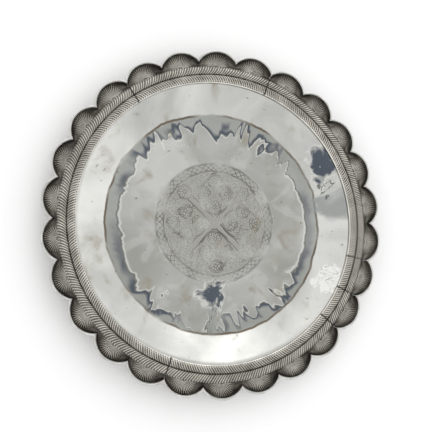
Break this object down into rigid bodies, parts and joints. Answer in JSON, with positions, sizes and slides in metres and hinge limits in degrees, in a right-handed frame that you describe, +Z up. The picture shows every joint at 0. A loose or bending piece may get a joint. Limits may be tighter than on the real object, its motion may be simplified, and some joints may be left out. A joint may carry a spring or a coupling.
{
  "type": "dish",
  "caption": "Shallow round silver dish: flat engraved floor, wide sloping wall, leaf garland border soldered on in lengths, and a scalloped rim of shell lobes with an edge wire.",
  "frame": {"origin": "middle of the flat underside that the dish rests on", "axes": "+Z up out of the dish, along its axis; +X through a notch between two lobes of the border"},
  "size_m": [0.2986, 0.3006, 0.0187],
  "materials": {
    "polished_silver": "worn hand-polished silver with small dents and stains",
    "oxidised_silver": "chased silver, dark in its hollows and rubbed bright on its ridges",
    "bright_edge_silver": "rubbed bright silver wire"
  },
  "bodies": {
    "root": {"pan": "polished_silver", "border_length_1": "oxidised_silver", "border_length_2": "oxidised_silver", "border_length_3": "oxidised_silver", "border_length_4": "oxidised_silver", "border_length_5": "oxidised_silver", "border_length_6": "oxidised_silver", "edge_wire": "bright_edge_silver"}
  },
  "joints": []
}
